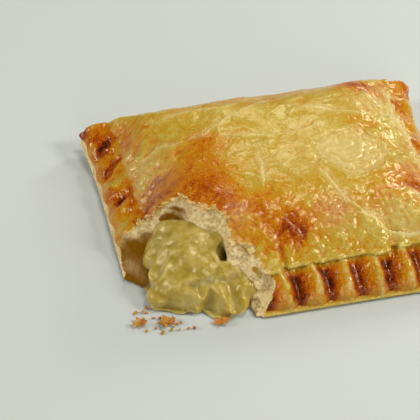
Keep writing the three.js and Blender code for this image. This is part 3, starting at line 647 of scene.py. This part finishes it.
# Blisters, specks and cracks roughen the skin, and holes of 1.1 mm the dough.
holes = add(tree, CELLS, {"Vector": spot, "Scale": 900, "Randomness": 1}, feature="F1")
relief = add(tree, MATHS, [specks, 0.35], operation="MULTIPLY")
relief = add(tree, MATHS, [blisters, 0.7, relief], operation="MULTIPLY_ADD")
relief = add(tree, MATHS, [crack, -0.3, relief], operation="MULTIPLY_ADD")
pores = add(tree, MATHS, [holes, dough], operation="MULTIPLY")
relief = add(tree, MATHS, [pores, 0.8, relief], operation="MULTIPLY_ADD")
bump = add(tree, "ShaderNodeBump", {"Height": relief, "Strength": 0.8, "Distance": 0.0006})
ripple = add(tree, "ShaderNodeBump", {"Height": relief, "Strength": 1.0, "Distance": 0.00015})
shader = add(tree, "ShaderNodeBsdfPrincipled", {
    "Base Color": wet_and_shaded, "Roughness": rough, "Normal": bump, "IOR": 1.45, "Specular IOR Level": 0.05,
    "Coat Weight": glaze, "Coat Roughness": 0.13, "Coat IOR": 1.6, "Coat Normal": ripple,
    "Subsurface Weight": 0.06, "Subsurface Scale": 0.0015, "Subsurface Radius": (1.0, 0.55, 0.25),
})  # fmt: skip
add(tree, "ShaderNodeOutputMaterial", {"Surface": shader})

for piece in (crust_lid, crust_back, crust_corner, crust_base):
    piece.data.materials.append(pastry)
    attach(piece, "root")
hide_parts("pastry")


# ---------------------------------------------------------------------------- flakes and crumbs
# Where the corner was torn off, thin scales of the upper leaves stand along the broken edge. Scales and
# crumbs that came away lie on the tray in front of it.
SCALE_INPUTS = ("Length", "Width", "Thickness", "Curl", "Ragged", "Palest", "Darkest", "Dough")


def scatter_tree(finish):
    """Puts a thin, curled and ragged scale on every point, turned by the point's own angles."""
    made = bpy.data.node_groups.new("scales", "GeometryNodeTree")
    made.interface.new_socket("Geometry", in_out="INPUT", socket_type="NodeSocketGeometry")
    for name in SCALE_INPUTS:
        made.interface.new_socket(name, in_out="INPUT", socket_type="NodeSocketFloat")
    made.interface.new_socket("Geometry", in_out="OUTPUT", socket_type="NodeSocketGeometry")
    given = add(made, "NodeGroupInput").outputs
    size = add(made, "ShaderNodeCombineXYZ", [given["Length"], given["Width"], given["Thickness"]])
    flat = add(made, "GeometryNodeMeshCube", {"Size": size, "Vertices X": 6, "Vertices Y": 4, "Vertices Z": 2})
    # It curls up, or down, towards both of its ends.
    along = add(made, "ShaderNodeSeparateXYZ", [add(made, "GeometryNodeInputPosition")]).outputs["X"]
    share = add(made, MATHS, [along, given["Length"]], operation="DIVIDE")
    lift = add(made, MATHS, [share, share], operation="MULTIPLY")
    lift = add(made, MATHS, [lift, given["Curl"]], operation="MULTIPLY")
    offset = add(made, "ShaderNodeCombineXYZ", {"Z": lift})
    curled = add(made, "GeometryNodeSetPosition", {"Geometry": flat, "Offset": offset})
    lean = add(made, "GeometryNodeInputNamedAttribute", {"Name": "lean"}, data_type="FLOAT_VECTOR")
    sizes = {0: (0.35, 0.4, 0.8), 1: (1.5, 1.4, 1.3), "Seed": 3}
    sizes = add(made, "FunctionNodeRandomValue", sizes, data_type="FLOAT_VECTOR")
    placed = add(made, "GeometryNodeInstanceOnPoints", {
        "Points": given["Geometry"], "Instance": curled, "Rotation": lean, "Scale": sizes,
    })  # fmt: skip
    tones = {2: given["Palest"], 3: given["Darkest"], "Seed": 5}
    tones = add(made, "FunctionNodeRandomValue", tones, data_type="FLOAT").outputs[1]
    toned = placed
    for name, value in (("bake_and_painted_light", tones), ("dough", given["Dough"])):
        toned = {"Geometry": toned, "Name": name, "Value": value}
        toned = add(made, "GeometryNodeStoreNamedAttribute", toned, data_type="FLOAT", domain="INSTANCE")
    real = add(made, "GeometryNodeRealizeInstances", [toned])
    # Noise pushes its corners about, so that no two scales are alike.
    rough = add(made, NOISE, {"Scale": 520, "Detail": 2}).outputs["Color"]
    centred = add(made, "ShaderNodeVectorMath", [rough, (0.5, 0.5, 0.5)], operation="SUBTRACT")
    push = add(made, "ShaderNodeVectorMath", {0: centred, "Scale": given["Ragged"]}, operation="SCALE")
    ragged = add(made, "GeometryNodeSetPosition", {"Geometry": real, "Offset": push})
    finished = add(made, "GeometryNodeSetMaterial", {"Geometry": ragged, "Material": finish})
    add(made, "NodeGroupOutput", {"Geometry": finished})
    return made


def scattered(name, points, leans, tree, values):
    """A mesh of scales at the points, in millimetres, with values for the tree's first inputs."""
    values = dict(zip(SCALE_INPUTS, values))
    seeds = mesh_object(name + "_points", np.asarray(points), np.arange(len(points) // 3 * 3).reshape(-1, 3))
    layer = seeds.data.attributes.new("lean", "FLOAT_VECTOR", "POINT")
    layer.data.foreach_set("vector", np.asarray(leans, np.float32)[: len(seeds.data.vertices)].ravel())
    modifier = seeds.modifiers.new("scales", "NODES")
    modifier.node_group = tree
    for item in tree.interface.items_tree:
        if item.in_out == "INPUT" and item.name in values:
            modifier[item.identifier] = float(values[item.name])
    seen = bpy.context.evaluated_depsgraph_get()
    mesh = bpy.data.meshes.new_from_object(seeds.evaluated_get(seen))
    mesh.name = name
    made = bpy.data.objects.new(name, mesh)
    bpy.context.collection.objects.link(made)
    bpy.data.objects.remove(seeds)
    return made


EDGE_SCALES, CRUMBS_DRAWN, CRUMB_HEIGHT, FALLEN_HEIGHT = 60, 60, 0.62, 1.1
FALLEN = [
    (-69, -49.2), (-67.3, -49.6), (-58.6, -51.6), (-56.8, -51.2), (-37.4, -55.4),
    (-35.6, -54.9), (-60, -50.6), (-70.4, -50), (-39, -56),
]  # fmt: skip
draw = np.random.default_rng(11)
on_edge = (torn > 0.2) & (torn < 0.8) & (lid_depth < 1.3) & (px + py < -30) & (px - py < 17)
picked = draw.permutation(np.flatnonzero(on_edge))[:EDGE_SCALES]
edge_spots = points[picked] + draw.normal(0, 0.25, (EDGE_SCALES, 3))
edge_place = (edge_spots[:, 0] - edge_spots[:, 1]) / math.sqrt(2)
rise = (np.interp(edge_place + 1.5, *zip(*TEAR_TOP)) - np.interp(edge_place - 1.5, *zip(*TEAR_TOP))) / 3
edge_leans = [draw.normal(0.1, 0.3, EDGE_SCALES), draw.normal(0, 0.2, EDGE_SCALES)]
edge_leans = [*edge_leans, np.arctan2(-1 - rise, 1 - rise) + draw.normal(0, 0.5, EDGE_SCALES)]
scales = scatter_tree(pastry)
# The numbers are the scale tree's inputs: its sizes in metres, then how far it is baked and how doughy it is.
edge_values = (0.0034, 0.0019, 0.00024, 0.0008, 0.0014, 0.1, 0.6, 0.55)
edge_scales = scattered("torn_edge_scales", edge_spots, np.stack(edge_leans, 1), scales, edge_values)
# Bigger scales and small crumbs on the tray.
fallen_spots = np.array([(x, y, FALLEN_HEIGHT) for x, y in FALLEN])
fallen_leans = [draw.normal(0, 0.12, 9), draw.normal(0, 0.12, 9), draw.uniform(0, 6.28, 9)]
fallen_values = (0.0042, 0.003, 0.0004, 0.002, 0.0024, 0.35, 0.7, 0.15)
fallen_scales = scattered("fallen_scales", fallen_spots, np.stack(fallen_leans, 1), scales, fallen_values)
crumb_spots = [draw.uniform(-71, -34, CRUMBS_DRAWN), draw.uniform(-57.5, -40, CRUMBS_DRAWN)]
crumb_spots = np.stack([*crumb_spots, np.full(CRUMBS_DRAWN, CRUMB_HEIGHT)], 1)
crumb_out = -(crumb_spots[:, 0] + crumb_spots[:, 1]) / math.sqrt(2)
crumb_spots = crumb_spots[(crumb_out > 74) & (crumb_out < 86)]
crumb_leans = draw.uniform(0, 6.28, (len(crumb_spots), 3)) * (0.1, 0.1, 1)
crumb_values = (0.0012, 0.0009, 0.0006, 0.0002, 0.0006, 0.3, 0.75, 0.1)
crumbs = scattered("crumbs", crumb_spots, crumb_leans, scales, crumb_values)
for piece in (edge_scales, fallen_scales, crumbs):
    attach(piece, "root")


# ---------------------------------------------------------------------------- the filling
# Potato mashed with melted cheese and bits of onion. It is soft, so it sags out of the tear in a smooth
# mound with lumps of potato and onion just under its wet skin.
SPILL_EDGE = [
    (-28, 58), (-25, 61), (-23, 65), (-18.2, 69.5), (-14.5, 73.4), (-11, 73.1), (-2, 69.8), (-0.6, 67.6),
    (3.1, 64.5), (6.4, 64.3), (9.2, 64.9), (12.8, 63.4), (15.5, 60), (17, 54), (20, 50),
]  # fmt: skip
MOUND_TOP, MOUND_START, MOUND_LEFT, MOUND_RIGHT = 21.5, 22.0, -27.5, 17.0
LUMPS, LUMP_SMALLEST, LUMP_LARGEST, SLIVERS, SLIVER_SUNK = 46, 3.0, 6.0, 9, 0.35
FILM_HEIGHT, ROOF_GAP, FILL_STEP = 1.3, 9.4, 0.5
FILL_LOW, FILL_HIGH = np.array([-66.0, -59.6, 0.0]), (-8, -6, 25.5)


def mound_side(spot):
    """The share of the mound's height that is left towards its two sides."""
    return np.clip((spot - MOUND_LEFT) / 3.5, 0, 1) ** 0.4 * np.clip((MOUND_RIGHT - spot) / 12, 0, 1) ** 0.5


fill_lines = [grid_line((a, FILL_STEP), (b, 0)) for a, b in zip(FILL_LOW, FILL_HIGH)]
fx, fy, fz = np.meshgrid(*fill_lines, indexing="ij")
fplace, fout = (fx - fy) / math.sqrt(2), -(fx + fy) / math.sqrt(2)
spill = np.interp(fplace, *zip(*SPILL_EDGE)) - 1
run = np.clip((fout - MOUND_START) / (spill - MOUND_START), 0, 1.2)
slump = np.sqrt(np.clip(1 - run**3, 0, 1))
sides = mound_side(fplace)
mound = (MOUND_TOP + 1.2 * layered(fx, fy, 0, 9, 201)) * slump * sides - fz
mound = np.minimum(mound, (spill - fout) * 1.2)
draw = np.random.default_rng(7)
for _ in range(LUMPS):
    lump_place = draw.uniform(MOUND_LEFT + 1, MOUND_RIGHT - 1.5)
    lump_run = draw.uniform(0.3, 0.99)
    lump_out = MOUND_START + (np.interp(lump_place, *zip(*SPILL_EDGE)) - 2 - MOUND_START) * lump_run
    middle = np.array([(lump_place - lump_out) / math.sqrt(2), (-lump_place - lump_out) / math.sqrt(2), 0])
    size = draw.uniform(LUMP_SMALLEST, LUMP_LARGEST)
    share = float(mound_side(lump_place))
    middle[2] = max(size * 0.6, MOUND_TOP * math.sqrt(max(0, 1 - lump_run**3)) * share - size * 0.75)
    stretch = draw.uniform(0.7, 1.4, 3)
    start = np.maximum(((middle - FILL_LOW) / FILL_STEP - 2.4 * size / FILL_STEP).astype(int), 0)
    stop = ((middle - FILL_LOW) / FILL_STEP + 2.4 * size / FILL_STEP).astype(int)
    part = tuple(slice(a, max(a, b)) for a, b in zip(start, stop))
    if 0 in fx[part].shape:
        continue
    away = [(grid[part] - m) / s for grid, m, s in zip((fx, fy, fz), middle, stretch)]
    lump = size - np.sqrt(sum(v * v for v in away))
    mound[part] = -soft_min(-mound[part], -lump, 2.2)
mound = mound + 0.35 * noise(fx, fy, fz, 5.5, 211) + 0.1 * noise(fx, fy, fz, 1.9, 212)
# A dip where the mash has come away from the dough on the right.
dip = 1 - np.sqrt(((fplace - 3.4) / 4.8) ** 2 + ((fout - 45.5) / 5.4) ** 2 + ((fz - 17.5) / 5.6) ** 2)
mound = np.minimum(mound, -4 * dip + 0.6 * noise(fx, fy, fz, 3, 213))
# A thin film of sauce has run out round its foot.
film = np.minimum(spill + 1.6 + 0.8 * noise(fx, fy, 0, 5, 215) - fout, FILM_HEIGHT - fz)
film = np.minimum(film, np.minimum(fplace - MOUND_LEFT + 0.5, MOUND_RIGHT + 0.5 - fplace))
mound = np.maximum(mound, film)
mound = np.minimum(mound, np.minimum(fz - 0.4, fout - MOUND_START))
fill_top, _, _ = crust_heights(fx[..., 0], fy[..., 0])
mound = np.minimum(mound, fill_top[..., None] - ROOF_GAP + 6 * smooth(40, 46, fout) - fz)
# The grid's outermost layer is empty, so that the skin closes.
for side in range(3):
    for end in (0, -1):
        mound[tuple(end if k == side else slice(None) for k in range(3))] = -1
points, quads, _, _ = skin_of(mound, fill_lines)
filling = mesh_object("filling_mash", points, quads)
corners = points[quads]
faces_up = np.cross(corners[:, 2] - corners[:, 0], corners[:, 3] - corners[:, 1])
faces_up = faces_up / np.maximum(np.linalg.norm(faces_up, axis=1), 1e-9)[:, None]
middles = corners.mean(1)
shown = np.flatnonzero((middles[:, 2] > 3) & (-(middles[:, 0] + middles[:, 1]) > 62) & (faces_up[:, 2] > 0.1))
picked = draw.permutation(shown)[:SLIVERS]

# Mashed potato and cheese: a wet, pale yellow-green paste that light soaks into, so its shadows stay soft.
# Starch and fat give it a low, broken gloss.
mash = bpy.data.materials.new("cheese_and_potato_mash")
mash.use_nodes = True
tree = mash.node_tree
tree.nodes.clear()
spot = add(tree, "ShaderNodeTexCoord").outputs["Object"]
# Clouds of 4 mm, and a grain of 1 mm.
clouds = add(tree, NOISE, {"Vector": spot, "Scale": 260, "Detail": 3, "Roughness": 0.55})
grain = add(tree, NOISE, {"Vector": spot, "Scale": 950, "Detail": 3, "Roughness": 0.6})
mash_colour = add(tree, RAMP, [clouds], [(0.3, "#a08c38"), (0.5, "#b4a04e"), (0.7, "#c6b678")])
rough = add(tree, RAMP, [clouds], [(0.35, 0.28), (0.65, 0.5)])
bump = add(tree, "ShaderNodeBump", {"Height": grain, "Strength": 0.4, "Distance": 0.0006})
shader = add(tree, "ShaderNodeBsdfPrincipled", {
    "Base Color": mash_colour, "Roughness": rough, "Normal": bump, "IOR": 1.4, "Specular IOR Level": 0.3,
    "Coat Weight": 1.0, "Coat Roughness": 0.06, "Coat Normal": bump,
    "Subsurface Weight": 0.8, "Subsurface Scale": 0.005, "Subsurface Radius": (1.0, 0.8, 0.35),
})  # fmt: skip
add(tree, "ShaderNodeOutputMaterial", {"Surface": shader})
# Slivers of softened onion lie in its skin, paler and clearer than the mash. Their cells are drawn at 1.4 mm.
onion = bpy.data.materials.new("softened_onion")
onion.use_nodes = True
tree = onion.node_tree
tree.nodes.clear()
flesh = {"Vector": add(tree, "ShaderNodeTexCoord").outputs["Object"], "Scale": 700, "Detail": 2}
onion_colour = add(tree, RAMP, [add(tree, NOISE, flesh)], [(0.35, "#bfae66"), (0.65, "#cdbc80")])
shader = add(tree, "ShaderNodeBsdfPrincipled", {
    "Base Color": onion_colour, "Roughness": 0.3, "IOR": 1.38, "Coat Weight": 0.5, "Coat Roughness": 0.1,
    "Subsurface Weight": 0.6, "Subsurface Scale": 0.002, "Subsurface Radius": (1.0, 0.8, 0.35),
})  # fmt: skip
add(tree, "ShaderNodeOutputMaterial", {"Surface": shader})
sliver_leans = []
for up in faces_up[picked]:
    turned = Vector(up).to_track_quat("Z", "Y").to_matrix() @ Matrix.Rotation(draw.uniform(0, 6.28), 3, "Z")
    sliver_leans.append(turned.to_euler())
sliver_values = (0.0052, 0.0016, 0.0009, -0.002, 0.0012)
sliver_spots = middles[picked] - SLIVER_SUNK * faces_up[picked]
slivers = scattered("onion_slivers", sliver_spots, sliver_leans, scatter_tree(onion), sliver_values)
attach(slivers, "root")
filling.data.materials.append(mash)
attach(filling, "root")
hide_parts("filling")


# ---------------------------------------------------------------------------- floor and light
# A plain pale matt floor, and a soft, slightly warm studio light from six lamps: low ones on the left and in
# front, one overhead, one behind, and two on the right that graze the flutes and the ridges with gloss.
bpy.ops.mesh.primitive_plane_add(size=3, location=(0, 0, 0))
floor = bpy.context.object
floor.name = "floor"
floor_finish = bpy.data.materials.new("pale_matt_backdrop")
floor_finish.use_nodes = True
paint = floor_finish.node_tree.nodes["Principled BSDF"].inputs
paint["Base Color"].default_value = colour("#c4d0ea")
paint["Roughness"].default_value = 0.8
floor.data.materials.append(floor_finish)

# Each lamp's name, place and width in metres, and power in watts.
LAMP_COLOUR, LAMPS_AIM = (1.0, 0.91, 0.63), Vector((0, 0, 0.01))
LAMPS = [
    ("left", (-1.05, 0.1, 0.5), 0.5, 7.0),
    ("front", (0.0, -1.1, 0.4), 0.6, 3.8),
    ("key", (0.3, 0.0, 1.08), 0.3, 4.0),
    ("back", (0.2, 0.78, 0.62), 0.3, 1.3),
    ("graze_back", (0.85, 0.6, 0.45), 0.3, 4.6),
    ("graze_front", (0.7, -0.34, 0.64), 0.22, 4.6),
]
for name, where, size, watts in LAMPS:
    lamp = bpy.data.objects.new(name, bpy.data.lights.new(name, "AREA"))
    lamp.data.size, lamp.data.energy = size, watts
    lamp.data.color = LAMP_COLOUR
    lamp.location = where
    lamp.rotation_mode = "QUATERNION"
    lamp.rotation_quaternion = (LAMPS_AIM - Vector(where)).to_track_quat("-Z", "Y")
    bpy.context.collection.objects.link(lamp)
world = bpy.data.worlds.new("studio")
world.use_nodes = True
sky = world.node_tree.nodes["Background"].inputs
sky["Color"].default_value, sky["Strength"].default_value = (1.0, 0.9, 0.7, 1), 0.07
bpy.context.scene.world = world
bpy.context.scene.view_settings.view_transform = "Standard"
